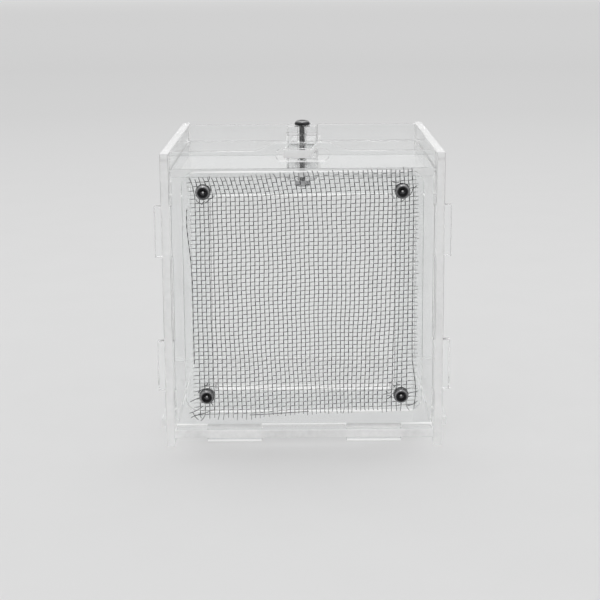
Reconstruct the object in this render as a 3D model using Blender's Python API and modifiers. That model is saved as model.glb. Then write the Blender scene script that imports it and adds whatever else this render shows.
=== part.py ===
"""Clear acrylic terrarium of laser-cut sheet: a tabbed box, a meshed front window and a lid with a turning latch.

Lengths are in metres. X runs to the right, Y away from the front and Z up. The origin is the bottom centre of the
whole object. Faces that touch on the real object are modelled with a gap of FIT between them.
"""

import math

import bmesh
import bpy
from mathutils import Euler, Matrix, Vector

# Sheet and fits
SHEET = 0.003
FIT = 0.0002
EDGE_BREAK = 0.00015

# Box
BOX_WIDTH = 0.100
BOX_DEPTH = 0.100
BOX_HEIGHT = 0.107
PANEL_INSET = 0.005
FOOT_HEIGHT = 0.003
TAB_STANDOUT = 0.003
SIDE_TAB_LENGTH = 0.0185
SIDE_TAB_SPACING = 0.0495
FOOT_TAB_LENGTH = 0.020
FOOT_TAB_SPACING = 0.051
BASE_TAB_LENGTH = 0.020
BASE_TAB_SPACING = 0.052

# Hump over the latch slot, in the front panel's top edge
HUMP_RISE = 0.003
HUMP_FLAT = 0.016
HUMP_FLANK = 0.010
HUMP_FLANK_STEPS = 8

# Lid and its pivot ears
LID_RECESS = 0.0064
LID_GAP = 0.0003
EAR_WIDTH = 0.005
LID_TAIL = 0.0032
EAR_PLAY = 0.0003

# Latch
LATCH_SETBACK = 0.023
LATCH_TURN = math.radians(-5)
KNOB_SIDE = 0.011
KNOB_CORNER = 0.0006
BAR_WIDTH = 0.010
BAR_GRIP = 0.0013
BAR_CLEARANCE = 0.0003
BAR_CORNER = 0.0008
SLOT_HEIGHT = 0.0044
SLOT_SIDE_PLAY = 0.0016
BOLT_HEAD_RADIUS = 0.00285
BOLT_HEAD_HEIGHT = 0.00165
BOLT_HEAD_FLAT_RADIUS = 0.0019
BOLT_SOCKET = 0.002
BOLT_SOCKET_DEPTH = 0.001
WASHER_RADIUS = 0.003
WASHER_THICKNESS = 0.0005
NUT_ACROSS = 0.0055
NUT_HEIGHT = 0.0024
NUT_CHAMFER = 0.0004

# Vent frame, its window and its screws
VENT_SIDE_MARGIN = 0.0041
VENT_TOP_MARGIN = 0.0069
VENT_FOOT_MARGIN = 0.0062
VENT_CORNER = 0.005
VENT_SIDE_BORDER = 0.010
VENT_END_BORDER = 0.0085
WINDOW_CORNER = 0.003
SCREW_SIDE_INSET = 0.0079
SCREW_END_INSET = 0.0067
SCREW_RADIUS = 0.0015
SCREW_PLAY = 0.0002
SCREW_LENGTH = 0.008
SCREW_HEAD_RADIUS = 0.00275
SCREW_HEAD_HEIGHT = 0.003
SCREW_HEAD_ROUND = 0.0004
SCREW_SOCKET = 0.0025
SCREW_SOCKET_DEPTH = 0.0015
SCREW_TIP_CHAMFER = 0.0003

# Wire mesh: the solid has one strand for every few wires of the real weave
STRAND_WIDTH = 0.0005
MESH_THICKNESS = 0.0005
MESH_COLUMNS = 17
MESH_ROWS = 17
GAPS_FROM_MIDDLE_TO_SCREW = 7

# Roundness, how far a cutter runs past what it cuts, and what counts as one point or a sharp edge
CIRCLE_STEPS = 24
CORNER_STEPS = 5
ROUNDING_STEPS = 4
CUT_OVERRUN = 0.001
WELD_DISTANCE = 0.000001
SHARP_ANGLE = math.radians(30)

# Planes and places worked out from the sizes above
SCREW_STANDOUT = SHEET + FIT + MESH_THICKNESS + FIT + FIT + SCREW_HEAD_HEIGHT - PANEL_INSET
FRONT_Y = -(BOX_DEPTH + SCREW_STANDOUT) / 2 + SCREW_STANDOUT
BACK_Y = FRONT_Y + BOX_DEPTH
MIDDLE_Y = (FRONT_Y + BACK_Y) / 2
INNER_X = BOX_WIDTH / 2 - SHEET
TAB_END_X = BOX_WIDTH / 2 + TAB_STANDOUT
FRONT_PANEL_Y = FRONT_Y + PANEL_INSET + SHEET / 2
BACK_PANEL_Y = BACK_Y - PANEL_INSET - SHEET / 2
FRONT_INSIDE_Y = FRONT_PANEL_Y + SHEET / 2
BACK_INSIDE_Y = BACK_PANEL_Y - SHEET / 2
BASE_TOP_Z = FOOT_HEIGHT + SHEET
PANEL_FOOT_Z = BASE_TOP_Z + FIT
PIVOT_Z = BOX_HEIGHT - LID_RECESS - SHEET / 2
PIVOT_Y = BACK_INSIDE_Y - LID_GAP - math.hypot(LID_TAIL, SHEET / 2)
EAR_HOLE_RADIUS = math.hypot(EAR_WIDTH, SHEET) / 2 + EAR_PLAY
LATCH_Y = FRONT_INSIDE_Y + LATCH_SETBACK
LAYER = SHEET + FIT
LID_TOP_Z = PIVOT_Z + SHEET / 2
LID_UNDER_Z = PIVOT_Z - SHEET / 2
SPACER_Z = LID_TOP_Z + FIT + SHEET / 2
BAR_Z = SPACER_Z + LAYER
LOWER_KNOB_Z = BAR_Z + LAYER
UPPER_KNOB_Z = LOWER_KNOB_Z + LAYER
BOLT_SEAT_Z = UPPER_KNOB_Z + SHEET / 2 + FIT
WASHER_Z = LID_UNDER_Z - FIT - WASHER_THICKNESS / 2
PAD_Z = WASHER_Z - WASHER_THICKNESS / 2 - FIT - SHEET / 2
NUT_Z = PAD_Z - SHEET / 2 - FIT - NUT_HEIGHT / 2
BOLT_END_Z = NUT_Z - NUT_HEIGHT / 2
LONG_REACH = LATCH_SETBACK + BAR_GRIP
SHORT_REACH = LATCH_SETBACK - BAR_CLEARANCE
SLOT_HALF_WIDTH = math.sqrt(LONG_REACH ** 2 - LATCH_SETBACK ** 2) + SLOT_SIDE_PLAY
SCREW_HOLE_RADIUS = SCREW_RADIUS + SCREW_PLAY
VENT_HALF_WIDTH = INNER_X - VENT_SIDE_MARGIN
VENT_TOP_Z = BOX_HEIGHT - VENT_TOP_MARGIN
VENT_FOOT_Z = BASE_TOP_Z + VENT_FOOT_MARGIN
VENT_MIDDLE_Z = (VENT_TOP_Z + VENT_FOOT_Z) / 2
VENT_HALF_HEIGHT = (VENT_TOP_Z - VENT_FOOT_Z) / 2
WINDOW_HALF_WIDTH = VENT_HALF_WIDTH - VENT_SIDE_BORDER
WINDOW_HALF_HEIGHT = VENT_HALF_HEIGHT - VENT_END_BORDER
SCREW_X = VENT_HALF_WIDTH - SCREW_SIDE_INSET
SCREW_RISE = VENT_HALF_HEIGHT - SCREW_END_INSET
VENT_FRAME_Y = FRONT_PANEL_Y - LAYER
MESH_Y = VENT_FRAME_Y - SHEET / 2 - FIT - MESH_THICKNESS / 2
SCREW_SEAT_Y = MESH_Y - MESH_THICKNESS / 2 - FIT

FACING_FRONT = Euler((math.radians(90), 0, 0))
FACING_SIDE = Euler((math.radians(90), 0, math.radians(90)))
FLAT = Euler((0, 0, 0))


def clear_scene():
    """Remove every object that the file starts with."""
    for thing in list(bpy.data.objects):
        bpy.data.objects.remove(thing, do_unlink=True)


def new_collection(name):
    """Make a collection in the scene."""
    collection = bpy.data.collections.new(name)
    bpy.context.scene.collection.children.link(collection)
    return collection


def new_material(name, colour, roughness, metallic=0.0, transmission=0.0):
    """Make a Principled material for one sub-part."""
    material = bpy.data.materials.new(name)
    material.use_nodes = True
    shader = material.node_tree.nodes["Principled BSDF"]
    shader.inputs["Base Color"].default_value = (*colour, 1.0)
    shader.inputs["Roughness"].default_value = roughness
    shader.inputs["Metallic"].default_value = metallic
    shader.inputs["Transmission Weight"].default_value = transmission
    return material


def acrylic(name):
    """Clear cast acrylic."""
    return new_material(name, (0.93, 0.95, 0.95), 0.03, transmission=1.0)


def dark_steel(name):
    """Blackened screw steel."""
    return new_material(name, (0.05, 0.05, 0.055), 0.35, metallic=1.0)


def bright_steel(name):
    """Plain screw steel."""
    return new_material(name, (0.35, 0.35, 0.36), 0.3, metallic=1.0)


def arc(centre, radius, start, end, steps):
    """Points of a circular arc from one angle to another, both included."""
    angles = [start + (end - start) * step / steps for step in range(steps + 1)]
    return [(centre[0] + radius * math.cos(a), centre[1] + radius * math.sin(a)) for a in angles]


def circle(centre, radius):
    """Points once round a circle."""
    return arc(centre, radius, 0, math.tau, CIRCLE_STEPS)[:-1]


def rounded_rectangle(centre, half_width, half_height, corner):
    """Points round a rectangle with round corners, anticlockwise from the right."""
    points = []
    for index, (sign_x, sign_y) in enumerate([(1, 1), (-1, 1), (-1, -1), (1, -1)]):
        middle = (centre[0] + sign_x * (half_width - corner), centre[1] + sign_y * (half_height - corner))
        start = index * math.pi / 2
        points += arc(middle, corner, start, start + math.pi / 2, CORNER_STEPS)
    return points


def rectangle(centre, half_width, half_height):
    """Points round a plain rectangle."""
    return [
        (centre[0] - half_width, centre[1] - half_height),
        (centre[0] + half_width, centre[1] - half_height),
        (centre[0] + half_width, centre[1] + half_height),
        (centre[0] - half_width, centre[1] + half_height),
    ]


def mortise(centre, width, height):
    """Points round a rectangular hole for a tab of this size, grown by the fit."""
    return rectangle(centre, width / 2 + FIT, height / 2 + FIT)


def pair(middle, spacing):
    """The two places at equal distances from a middle."""
    return [middle - spacing / 2, middle + spacing / 2]


def edge_with_tabs(start, end, places, length, standout):
    """Points along a straight edge, from its start up to its end, with rectangular tabs on its right-hand side.

    places are the distances of the tabs' middles from the edge's start.
    """
    start = Vector(start)
    along = (Vector(end) - start).normalized()
    outwards = Vector((along.y, -along.x)) * standout
    points = [start]
    for middle in sorted(places):
        near = start + along * (middle - length / 2)
        far = start + along * (middle + length / 2)
        points += [near, near + outwards, far + outwards, far]
    return [tuple(point) for point in points]


def smooth_step(share):
    """Rise from 0 to 1 with level ends."""
    return share * share * (3 - 2 * share)


def hump(top):
    """Points of the raised middle of the front panel's top edge, from right to left."""
    flank = []
    for step in range(HUMP_FLANK_STEPS + 1):
        share = step / HUMP_FLANK_STEPS
        reach = HUMP_FLAT / 2 + HUMP_FLANK * (1 - share)
        flank.append((reach, top + HUMP_RISE * smooth_step(share)))
    return flank + [(-x, z) for x, z in reversed(flank)]


def window():
    """Points of the vent window, about the vent's middle height."""
    return rounded_rectangle((0, VENT_MIDDLE_Z), WINDOW_HALF_WIDTH, WINDOW_HALF_HEIGHT, WINDOW_CORNER)


def screw_places():
    """Names and places of the four vent screws, seen from the front."""
    places = {}
    for level, rise in (("top", SCREW_RISE), ("bottom", -SCREW_RISE)):
        for side, x in (("left", -SCREW_X), ("right", SCREW_X)):
            places[f"{level}_{side}"] = (x, VENT_MIDDLE_Z + rise)
    return places


def smooth_round(thing):
    """Shade a round piece smooth, with its real corners left sharp."""
    thing.data.shade_smooth()
    thing.data.set_sharp_from_angle(angle=SHARP_ANGLE)


def mesh_from(thing):
    """Turn a curve or a modified object into a plain welded mesh object in the same place."""
    bpy.context.view_layer.update()
    evaluated = thing.evaluated_get(bpy.context.evaluated_depsgraph_get())
    mesh = bpy.data.meshes.new_from_object(evaluated)
    weld = bmesh.new()
    weld.from_mesh(mesh)
    bmesh.ops.remove_doubles(weld, verts=weld.verts, dist=WELD_DISTANCE)
    bmesh.ops.recalc_face_normals(weld, faces=weld.faces)
    weld.to_mesh(mesh)
    weld.free()
    name = thing.name
    solid = bpy.data.objects.new(name + "_solid", mesh)
    solid.matrix_world = thing.matrix_world
    bpy.data.objects.remove(thing, do_unlink=True)
    solid.name = name
    mesh.name = name
    return solid


def cut_sheet(name, outline, holes, thickness=SHEET, edge_break=EDGE_BREAK):
    """A flat piece cut from sheet: an outline with holes, centred on its own thickness, with broken edges."""
    curve = bpy.data.curves.new(name, "CURVE")
    curve.dimensions = "2D"
    curve.fill_mode = "BOTH"
    curve.extrude = thickness / 2 - edge_break
    curve.bevel_depth = edge_break
    curve.bevel_resolution = 0
    curve.offset = -edge_break
    for points in [outline] + holes:
        spline = curve.splines.new("POLY")
        spline.points.add(len(points) - 1)
        for corner, (x, y) in zip(spline.points, points):
            corner.co = (x, y, 0, 1)
        spline.use_cyclic_u = True
    thing = bpy.data.objects.new(name, curve)
    bpy.context.scene.collection.objects.link(thing)
    sheet = mesh_from(thing)
    smooth_round(sheet)
    return sheet


def turned(name, profile):
    """A solid of revolution about Z from a profile of (radius, height) points, top to bottom."""
    mesh = bpy.data.meshes.new(name)
    edges = [(index, index + 1) for index in range(len(profile) - 1)]
    mesh.from_pydata([(radius, 0, height) for radius, height in profile], edges, [])
    thing = bpy.data.objects.new(name, mesh)
    bpy.context.scene.collection.objects.link(thing)
    screw = thing.modifiers.new("Turn", "SCREW")
    screw.steps = CIRCLE_STEPS
    screw.render_steps = CIRCLE_STEPS
    screw.use_merge_vertices = True
    screw.merge_threshold = WELD_DISTANCE
    return mesh_from(thing)


def prism(name, across, low, high):
    """A six-sided prism standing on Z, its size given across the flats."""
    mesh = bpy.data.meshes.new(name)
    body = bmesh.new()
    radius = across / math.sqrt(3)
    bmesh.ops.create_cone(
        body, cap_ends=True, segments=6, radius1=radius, radius2=radius, depth=high - low,
        matrix=Matrix.Translation((0, 0, (low + high) / 2)),
    )
    body.to_mesh(mesh)
    body.free()
    return bpy.data.objects.new(name, mesh)


def cut(thing, cutter, cutters, operation="DIFFERENCE"):
    """Apply one Boolean cut, and hide its cutter in the cutters' collection."""
    cutters.objects.link(cutter)
    cutter.hide_render = True
    cutter.display_type = "WIRE"
    bpy.context.scene.collection.objects.link(thing)
    boolean = thing.modifiers.new("Cut", "BOOLEAN")
    boolean.operation = operation
    boolean.object = cutter
    return mesh_from(thing)


def place(thing, collection, material, location, rotation=FLAT, parent=None):
    """Put a finished piece into the object's collection, in world coordinates."""
    collection.objects.link(thing)
    thing.data.materials.clear()
    thing.data.materials.append(material)
    thing.matrix_world = Matrix.LocRotScale(Vector(location), rotation, None)
    if parent is not None:
        thing.parent = parent
        thing.matrix_parent_inverse = parent.matrix_world.inverted()
    return thing


def axis_empty(name, collection, location, parent=None):
    """An empty on a joint's axis."""
    empty = bpy.data.objects.new(name, None)
    empty.empty_display_size = KNOB_SIDE
    collection.objects.link(empty)
    empty.location = location
    bpy.context.view_layer.update()
    if parent is not None:
        empty.parent = parent
        empty.matrix_parent_inverse = parent.matrix_world.inverted()
        bpy.context.view_layer.update()
    return empty


def end_panel_outline(top_edge):
    """Outline of the front or back panel: foot tabs below, two tabs at each side, and the given top edge."""
    half = INNER_X - FIT
    height = BOX_HEIGHT - PANEL_FOOT_Z
    foot_places = pair(half, FOOT_TAB_SPACING)
    side_places = pair(BOX_HEIGHT / 2 - PANEL_FOOT_Z, SIDE_TAB_SPACING)
    standout = TAB_END_X - half
    points = edge_with_tabs((-half, PANEL_FOOT_Z), (half, PANEL_FOOT_Z), foot_places, FOOT_TAB_LENGTH, PANEL_FOOT_Z)
    points += edge_with_tabs((half, PANEL_FOOT_Z), (half, BOX_HEIGHT), side_places, SIDE_TAB_LENGTH, standout)
    points += [(half, BOX_HEIGHT)] + top_edge + [(-half, BOX_HEIGHT)]
    down_places = [height - distance for distance in side_places]
    points += edge_with_tabs((-half, BOX_HEIGHT), (-half, PANEL_FOOT_Z), down_places, SIDE_TAB_LENGTH, standout)[1:]
    return points


def build_front_panel(collection):
    """Front panel with the window, the screw holes, the hump and the latch slot."""
    slot_points = rounded_rectangle((0, BAR_Z), SLOT_HALF_WIDTH, SLOT_HEIGHT / 2, SLOT_HEIGHT / 2)
    holes = [window(), slot_points]
    holes += [circle(centre, SCREW_HOLE_RADIUS) for centre in screw_places().values()]
    panel = cut_sheet("front_panel", end_panel_outline(hump(BOX_HEIGHT)), holes)
    place(panel, collection, acrylic("front_panel"), (0, FRONT_PANEL_Y, 0), FACING_FRONT)


def build_back_panel(collection):
    """Plain back panel."""
    panel = cut_sheet("back_panel", end_panel_outline([]), [])
    place(panel, collection, acrylic("back_panel"), (0, BACK_PANEL_Y, 0), FACING_FRONT)


def side_panel_holes():
    """Mortises for the tabs of front, back and base, and the round hole for the lid's ear, as (y, z) points."""
    holes = []
    for y in (FRONT_PANEL_Y, BACK_PANEL_Y):
        holes += [mortise((y, z), SHEET, SIDE_TAB_LENGTH) for z in pair(BOX_HEIGHT / 2, SIDE_TAB_SPACING)]
    base_z = FOOT_HEIGHT + SHEET / 2
    holes += [mortise((y, base_z), BASE_TAB_LENGTH, SHEET) for y in pair(MIDDLE_Y, BASE_TAB_SPACING)]
    holes.append(circle((PIVOT_Y, PIVOT_Z), EAR_HOLE_RADIUS))
    return holes


def build_side_panels(collection):
    """The two side panels, which stand on the ground."""
    outline = [(FRONT_Y, 0), (BACK_Y, 0), (BACK_Y, BOX_HEIGHT), (FRONT_Y, BOX_HEIGHT)]
    for name, side in (("left_side_panel", -1), ("right_side_panel", 1)):
        panel = cut_sheet(name, outline, side_panel_holes())
        x = side * (BOX_WIDTH - SHEET) / 2
        place(panel, collection, acrylic(name), (x, 0, 0), FACING_SIDE)


def build_base_panel(collection):
    """Base with tabs through the side panels and slots for the foot tabs of front and back."""
    half = INNER_X - FIT
    standout = TAB_END_X - half
    places = pair(MIDDLE_Y - FRONT_Y, BASE_TAB_SPACING)
    outline = [(-half, FRONT_Y)]
    outline += edge_with_tabs((half, FRONT_Y), (half, BACK_Y), places, BASE_TAB_LENGTH, standout)
    outline.append((half, BACK_Y))
    outline += edge_with_tabs((-half, BACK_Y), (-half, FRONT_Y), places, BASE_TAB_LENGTH, standout)
    holes = []
    for y in (FRONT_PANEL_Y, BACK_PANEL_Y):
        holes += [mortise((x, y), FOOT_TAB_LENGTH, SHEET) for x in pair(0, FOOT_TAB_SPACING)]
    panel = cut_sheet("base_panel", outline, holes)
    place(panel, collection, acrylic("base_panel"), (0, 0, FOOT_HEIGHT + SHEET / 2))


def build_vent_frame(collection):
    """Rounded frame between the mesh and the front panel."""
    outline = rounded_rectangle((0, VENT_MIDDLE_Z), VENT_HALF_WIDTH, VENT_HALF_HEIGHT, VENT_CORNER)
    holes = [window()]
    holes += [circle(centre, SCREW_HOLE_RADIUS) for centre in screw_places().values()]
    frame = cut_sheet("vent_frame", outline, holes)
    place(frame, collection, acrylic("vent_frame"), (0, VENT_FRAME_Y, 0), FACING_FRONT)


def strand_edges(count, pitch):
    """Places of the edges of all strands that run one way, for a net with this many gaps about its middle."""
    edges = []
    for strand in range(count + 1):
        middle = (strand - count / 2) * pitch
        edges += [middle - STRAND_WIDTH / 2, middle + STRAND_WIDTH / 2]
    return edges


def build_vent_mesh(collection):
    """Flat net whose gaps line up with the screws, so that each screw passes between the strands.

    It is a grid of cells between the strands' edges. A cell that lies between two strands both ways is a gap.
    """
    across = strand_edges(MESH_COLUMNS, SCREW_X / GAPS_FROM_MIDDLE_TO_SCREW)
    upwards = strand_edges(MESH_ROWS, SCREW_RISE / GAPS_FROM_MIDDLE_TO_SCREW)
    width = len(across)
    vertices = [(x, VENT_MIDDLE_Z + rise, 0) for rise in upwards for x in across]
    faces = []
    for row in range(len(upwards) - 1):
        for column in range(width - 1):
            first = row * width + column
            if row % 2 == 0 or column % 2 == 0:
                faces.append((first, first + 1, first + 1 + width, first + width))
    mesh = bpy.data.meshes.new("vent_mesh")
    mesh.from_pydata(vertices, [], faces)
    grid = bpy.data.objects.new("vent_mesh", mesh)
    bpy.context.scene.collection.objects.link(grid)
    thickness = grid.modifiers.new("Thickness", "SOLIDIFY")
    thickness.thickness = MESH_THICKNESS
    thickness.offset = 0
    steel = new_material("vent_mesh", (0.12, 0.12, 0.12), 0.45, metallic=0.8)
    place(mesh_from(grid), collection, steel, (0, MESH_Y, 0), FACING_FRONT)


def build_vent_screws(collection, cutters):
    """Four socket-head cap screws. Each is drawn head up on Z, with its seat at the origin."""
    rounding = arc(
        (SCREW_HEAD_RADIUS - SCREW_HEAD_ROUND, SCREW_HEAD_HEIGHT - SCREW_HEAD_ROUND),
        SCREW_HEAD_ROUND, math.pi / 2, 0, ROUNDING_STEPS,
    )
    profile = [(0, SCREW_HEAD_HEIGHT)] + rounding
    profile += [(SCREW_HEAD_RADIUS, 0), (SCREW_RADIUS, 0), (SCREW_RADIUS, SCREW_TIP_CHAMFER - SCREW_LENGTH)]
    profile += [(SCREW_RADIUS - SCREW_TIP_CHAMFER, -SCREW_LENGTH), (0, -SCREW_LENGTH)]
    socket_floor = SCREW_HEAD_HEIGHT - SCREW_SOCKET_DEPTH
    socket = prism("screw_socket_cutter", SCREW_SOCKET, socket_floor, SCREW_HEAD_HEIGHT + CUT_OVERRUN)
    screw = cut(turned("vent_screw", profile), socket, cutters)
    smooth_round(screw)
    for corner, (x, z) in screw_places().items():
        name = "vent_screw_" + corner
        copy = bpy.data.objects.new(name, screw.data.copy())
        place(copy, collection, dark_steel(name), (x, SCREW_SEAT_Y, z), FACING_FRONT)
    bpy.data.objects.remove(screw, do_unlink=True)


def build_lid(collection):
    """Lid with two ears near its back edge, which turn in round holes in the side panels. It hangs on an empty."""
    hinge = axis_empty("lid_hinge_axis", collection, (0, PIVOT_Y, PIVOT_Z))
    half = INNER_X - LID_GAP
    front = FRONT_INSIDE_Y + LID_GAP - PIVOT_Y
    standout = TAB_END_X - half
    outline = [(-half, front), (half, front)]
    outline += edge_with_tabs((half, front), (half, LID_TAIL), [-front], EAR_WIDTH, standout)[1:]
    outline += [(half, LID_TAIL)]
    outline += edge_with_tabs((-half, LID_TAIL), (-half, front), [LID_TAIL], EAR_WIDTH, standout)
    bolt_hole = circle((0, LATCH_Y - PIVOT_Y), SCREW_HOLE_RADIUS)
    lid = cut_sheet("lid_panel", outline, [bolt_hole])
    place(lid, collection, acrylic("lid_panel"), (0, PIVOT_Y, PIVOT_Z), FLAT, hinge)
    return hinge


def bar_end(reach):
    """Points of one end of the latch bar, pointing to +Y: an arc about the latch axis between two round corners."""
    half = BAR_WIDTH / 2
    corner_reach = reach - BAR_CORNER
    side_angle = math.asin((half - BAR_CORNER) / corner_reach)
    corner = (half - BAR_CORNER, corner_reach * math.cos(side_angle))
    right = arc(corner, BAR_CORNER, 0, math.pi / 2 - side_angle, CORNER_STEPS)
    tip = arc((0, 0), reach, math.pi / 2 - side_angle, math.pi / 2 + side_angle, CORNER_STEPS)[1:-1]
    left = [(-x, y) for x, y in reversed(right)]
    return right + tip + left


def bar_outline():
    """Latch bar about its axis. Its long end can swing into the slot, and its short end clears the front panel."""
    return bar_end(LONG_REACH) + [(-x, -y) for x, y in bar_end(SHORT_REACH)]


def build_latch(collection, cutters, hinge):
    """Turning latch: squares, bar, bolt, washer and nut on one axis. It is drawn open, its long end to the back."""
    axis = axis_empty("latch_axis", collection, (0, LATCH_Y, PIVOT_Z), hinge)
    turn = Euler((0, 0, LATCH_TURN))
    bore = circle((0, 0), SCREW_HOLE_RADIUS)
    square = rounded_rectangle((0, 0), KNOB_SIDE / 2, KNOB_SIDE / 2, KNOB_CORNER)
    layers = {
        "latch_pad": (square, PAD_Z),
        "latch_spacer": (square, SPACER_Z),
        "latch_bar": (bar_outline(), BAR_Z),
        "latch_knob_lower": (square, LOWER_KNOB_Z),
        "latch_knob_upper": (square, UPPER_KNOB_Z),
    }
    for name, (outline, z) in layers.items():
        layer = cut_sheet(name, outline, [bore])
        place(layer, collection, acrylic(name), (0, LATCH_Y, z), turn, axis)
    washer = cut_sheet("latch_washer", circle((0, 0), WASHER_RADIUS), [bore], WASHER_THICKNESS, 0)
    place(washer, collection, bright_steel("latch_washer"), (0, LATCH_Y, WASHER_Z), turn, axis)
    build_latch_bolt(collection, cutters, axis, turn)
    build_latch_nut(collection, cutters, axis, turn)


def build_latch_bolt(collection, cutters, axis, turn):
    """Button-head screw: a low dome, flat on top where the socket is."""
    dome = []
    for step in range(CORNER_STEPS + 1):
        share = step / CORNER_STEPS
        spread = math.sin(share * math.pi / 2)
        radius = BOLT_HEAD_FLAT_RADIUS + (BOLT_HEAD_RADIUS - BOLT_HEAD_FLAT_RADIUS) * spread
        dome.append((radius, BOLT_HEAD_HEIGHT * (1 - share ** 2)))
    length = BOLT_SEAT_Z - BOLT_END_Z
    profile = [(0, BOLT_HEAD_HEIGHT)] + dome[:-1] + [(BOLT_HEAD_RADIUS, EDGE_BREAK), (BOLT_HEAD_RADIUS, 0)]
    profile += [(SCREW_RADIUS, 0), (SCREW_RADIUS, SCREW_TIP_CHAMFER - length)]
    profile += [(SCREW_RADIUS - SCREW_TIP_CHAMFER, -length), (0, -length)]
    socket_floor = BOLT_HEAD_HEIGHT - BOLT_SOCKET_DEPTH
    socket = prism("bolt_socket_cutter", BOLT_SOCKET, socket_floor, BOLT_HEAD_HEIGHT + CUT_OVERRUN)
    bolt = cut(turned("latch_bolt", profile), socket, cutters)
    smooth_round(bolt)
    place(bolt, collection, dark_steel("latch_bolt"), (0, LATCH_Y, BOLT_SEAT_Z), turn, axis)


def build_latch_nut(collection, cutters, axis, turn):
    """Hexagon nut with chamfered corners and a plain bore."""
    half = NUT_HEIGHT / 2
    corner_radius = NUT_ACROSS / math.sqrt(3)
    blank = prism("latch_nut", NUT_ACROSS, -half, half)
    lathe_profile = [(0, half), (NUT_ACROSS / 2, half), (corner_radius, half - NUT_CHAMFER)]
    lathe_profile += [(corner_radius, NUT_CHAMFER - half), (NUT_ACROSS / 2, -half), (0, -half)]
    envelope = turned("nut_envelope_cutter", lathe_profile)
    bore_profile = [(0, half + CUT_OVERRUN), (SCREW_HOLE_RADIUS, half + CUT_OVERRUN)]
    bore_profile += [(SCREW_HOLE_RADIUS, -half - CUT_OVERRUN), (0, -half - CUT_OVERRUN)]
    bore = turned("nut_bore_cutter", bore_profile)
    nut = cut(cut(blank, envelope, cutters, "INTERSECT"), bore, cutters)
    place(nut, collection, bright_steel("latch_nut"), (0, LATCH_Y, NUT_Z), turn, axis)


def main():
    clear_scene()
    parts = new_collection("acrylic_terrarium")
    cutters = new_collection("cutters")
    build_side_panels(parts)
    build_base_panel(parts)
    build_front_panel(parts)
    build_back_panel(parts)
    build_vent_frame(parts)
    build_vent_mesh(parts)
    build_vent_screws(parts, cutters)
    hinge = build_lid(parts)
    build_latch(parts, cutters, hinge)


main()
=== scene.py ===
"""Looks of the clear acrylic terrarium: sheets, woven wire mesh, screws, turning latch and a pale stage."""

import math

import bmesh
import bpy
import numpy as np
from mathutils import Matrix, Vector


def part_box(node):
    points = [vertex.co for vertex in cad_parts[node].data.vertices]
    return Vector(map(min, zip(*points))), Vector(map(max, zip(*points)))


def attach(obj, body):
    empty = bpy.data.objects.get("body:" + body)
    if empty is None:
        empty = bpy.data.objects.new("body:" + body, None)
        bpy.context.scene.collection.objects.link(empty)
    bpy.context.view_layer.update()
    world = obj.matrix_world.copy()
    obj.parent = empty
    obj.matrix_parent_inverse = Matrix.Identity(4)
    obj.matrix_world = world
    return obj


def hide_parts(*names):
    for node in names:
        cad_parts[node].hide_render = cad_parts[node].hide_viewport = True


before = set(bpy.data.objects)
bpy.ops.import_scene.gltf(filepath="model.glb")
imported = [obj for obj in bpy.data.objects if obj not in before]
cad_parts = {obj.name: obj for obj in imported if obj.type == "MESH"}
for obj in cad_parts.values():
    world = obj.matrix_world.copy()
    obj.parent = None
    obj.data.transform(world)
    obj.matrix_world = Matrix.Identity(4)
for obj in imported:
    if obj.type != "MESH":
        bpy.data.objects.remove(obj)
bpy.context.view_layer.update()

bl_info = {
    "name": "Acrylic Terrarium",
    "version": (1, 0, 0),
    "blender": (4, 5, 0),
    "location": "3D View > Sidebar > Terrarium",
    "description": "Dresses the clear sheets of a small terrarium and makes its wire mesh, screws and stage",
    "category": "Object",
}

# Which way each clear sheet is thin, as an axis of the object's own coordinates
SHEET_AXES = {
    "left_side_panel": "X",
    "right_side_panel": "X",
    "front_panel": "Y",
    "back_panel": "Y",
    "vent_frame": "Y",
    "base_panel": "Z",
    "lid_panel": "Z",
    "latch_pad": "Z",
    "latch_spacer": "Z",
    "latch_bar": "Z",
    "latch_knob_lower": "Z",
    "latch_knob_upper": "Z",
}
VENT_SCREWS = (
    "vent_screw_top_left",
    "vent_screw_top_right",
    "vent_screw_bottom_left",
    "vent_screw_bottom_right",
)

TURN = 2 * math.pi

# Points closer than this are one, and edges sharper than this angle stay sharp
MERGE_DISTANCE = 0.0000005
SHARP_ANGLE = math.radians(38)

# Colour of bare metal, for painted highlights on the screws and the bolt
PAINTED_HIGHLIGHT_METAL = (0.75, 0.75, 0.75, 1.0)

# Outer radius of the M3 thread, and the gap between a screw's head and what it clamps
SHANK_RADIUS = 0.0015
HEAD_GAP = 0.0002

# Painted light on a screw's crown, dome, rim and shank: below one half is painted shade, above it a painted
# highlight
SCREW_PAINTED_LIGHT = (0.12, 0.62, 0.5, 0.5)
# Painted shade makes the bolt's shank black where it runs through the knobs
BOLT_PAINTED_LIGHT = (0.4, 0.62, 0.3, 0.0)

# Loose cut ends of wire: x, z, direction in radians, how far it turns, and length
LOOSE_ENDS = (
    (-0.0418, 0.0121, 0.35, 0.3, 0.0058),
    (-0.0412, 0.0103, 0.7, -0.8, 0.0046),
    (-0.0404, 0.0128, -1.2, 0.5, 0.0035),
    (-0.0385, 0.0118, 0.1, 0.4, 0.0044),
    (-0.0415, 0.0163, 0.55, -0.3, 0.0062),
    (-0.0206, 0.0113, 0.06, 0.02, 0.0215),
    (0.0365, 0.0186, 0.5, -0.4, 0.0050),
    (0.0372, 0.0145, 0.2, 0.5, 0.0042),
)

# Soft waves of the weave: height, radians per metre up, radians per metre across, and start
SIDEWAYS_WAVES = ((0.0002, 95, 50, 0), (0.0001, 310, 160, 0))
UPRIGHT_WAVES = ((0.0002, 0, 120, 1.1), (0.0001, 70, 260, 0))
BULGE_WAVES = ((1, 40, 150, 0),)

# Soft lamps: name, place, size and power, and the point that they look at
LAMPS = (
    ("softbox", (-0.3, -1.6, 4.2), 1.4, 27.0),
    ("rear_softbox", (0.2, 1.5, 4.4), 4.2, 48.0),
)
LAMP_AIM = (0, 0, 0.05)


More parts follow.
